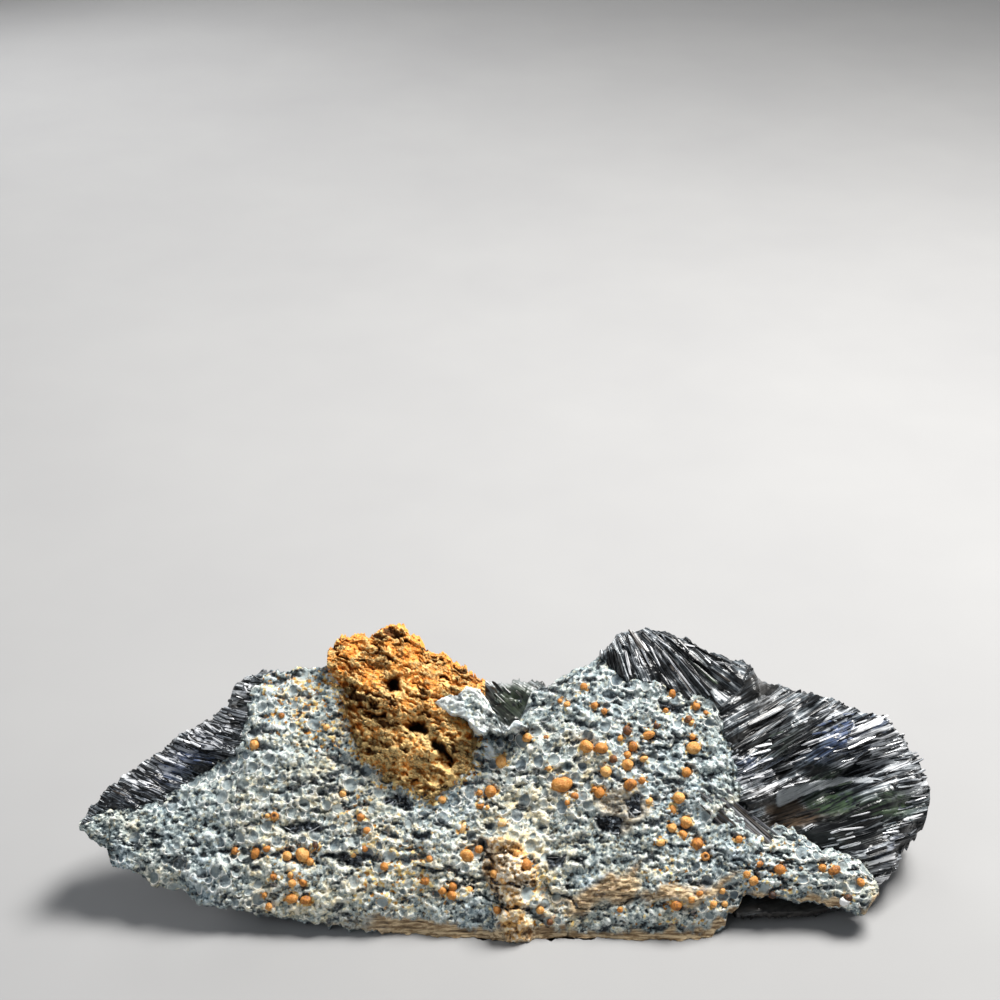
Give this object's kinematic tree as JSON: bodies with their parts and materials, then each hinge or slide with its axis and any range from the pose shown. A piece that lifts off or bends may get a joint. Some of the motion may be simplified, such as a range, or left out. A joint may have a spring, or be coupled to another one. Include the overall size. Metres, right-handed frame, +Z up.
{
  "type": "vivianite specimen",
  "caption": "Leaning slab of pitted blue-grey vivianite rind with fans of dark bladed crystals, an orange ironstone lump and small brown ooliths; rests on its base.",
  "frame": {"origin": "centre of the resting face's level: the middle of the specimen's length and depth, on the surface it rests on", "axes": "+X along the slab towards the fan of blades, -Y the side the pitted face looks to, +Z up"},
  "size_m": [0.1485, 0.0443, 0.0414],
  "materials": {
    "rind": "matt, mealy",
    "crystal": "glassy to pearly",
    "ironstone": "earthy, porous",
    "oolith": "satin"
  },
  "bodies": {
    "root": {"rind_slab": "rind", "right_crystals": "crystal", "edge_crystals": "crystal", "notch_crystals": "crystal", "ironstone": "ironstone", "oolith_01": "oolith", "oolith_02": "oolith", "oolith_03": "oolith", "oolith_04": "oolith", "oolith_05": "oolith", "oolith_06": "oolith", "oolith_07": "oolith", "oolith_08": "oolith", "oolith_09": "oolith", "oolith_10": "oolith", "oolith_11": "oolith", "oolith_12": "oolith", "oolith_13": "oolith", "oolith_14": "oolith", "oolith_15": "oolith", "oolith_16": "oolith", "oolith_17": "oolith", "oolith_18": "oolith", "oolith_19": "oolith", "oolith_20": "oolith"}
  },
  "joints": []
}
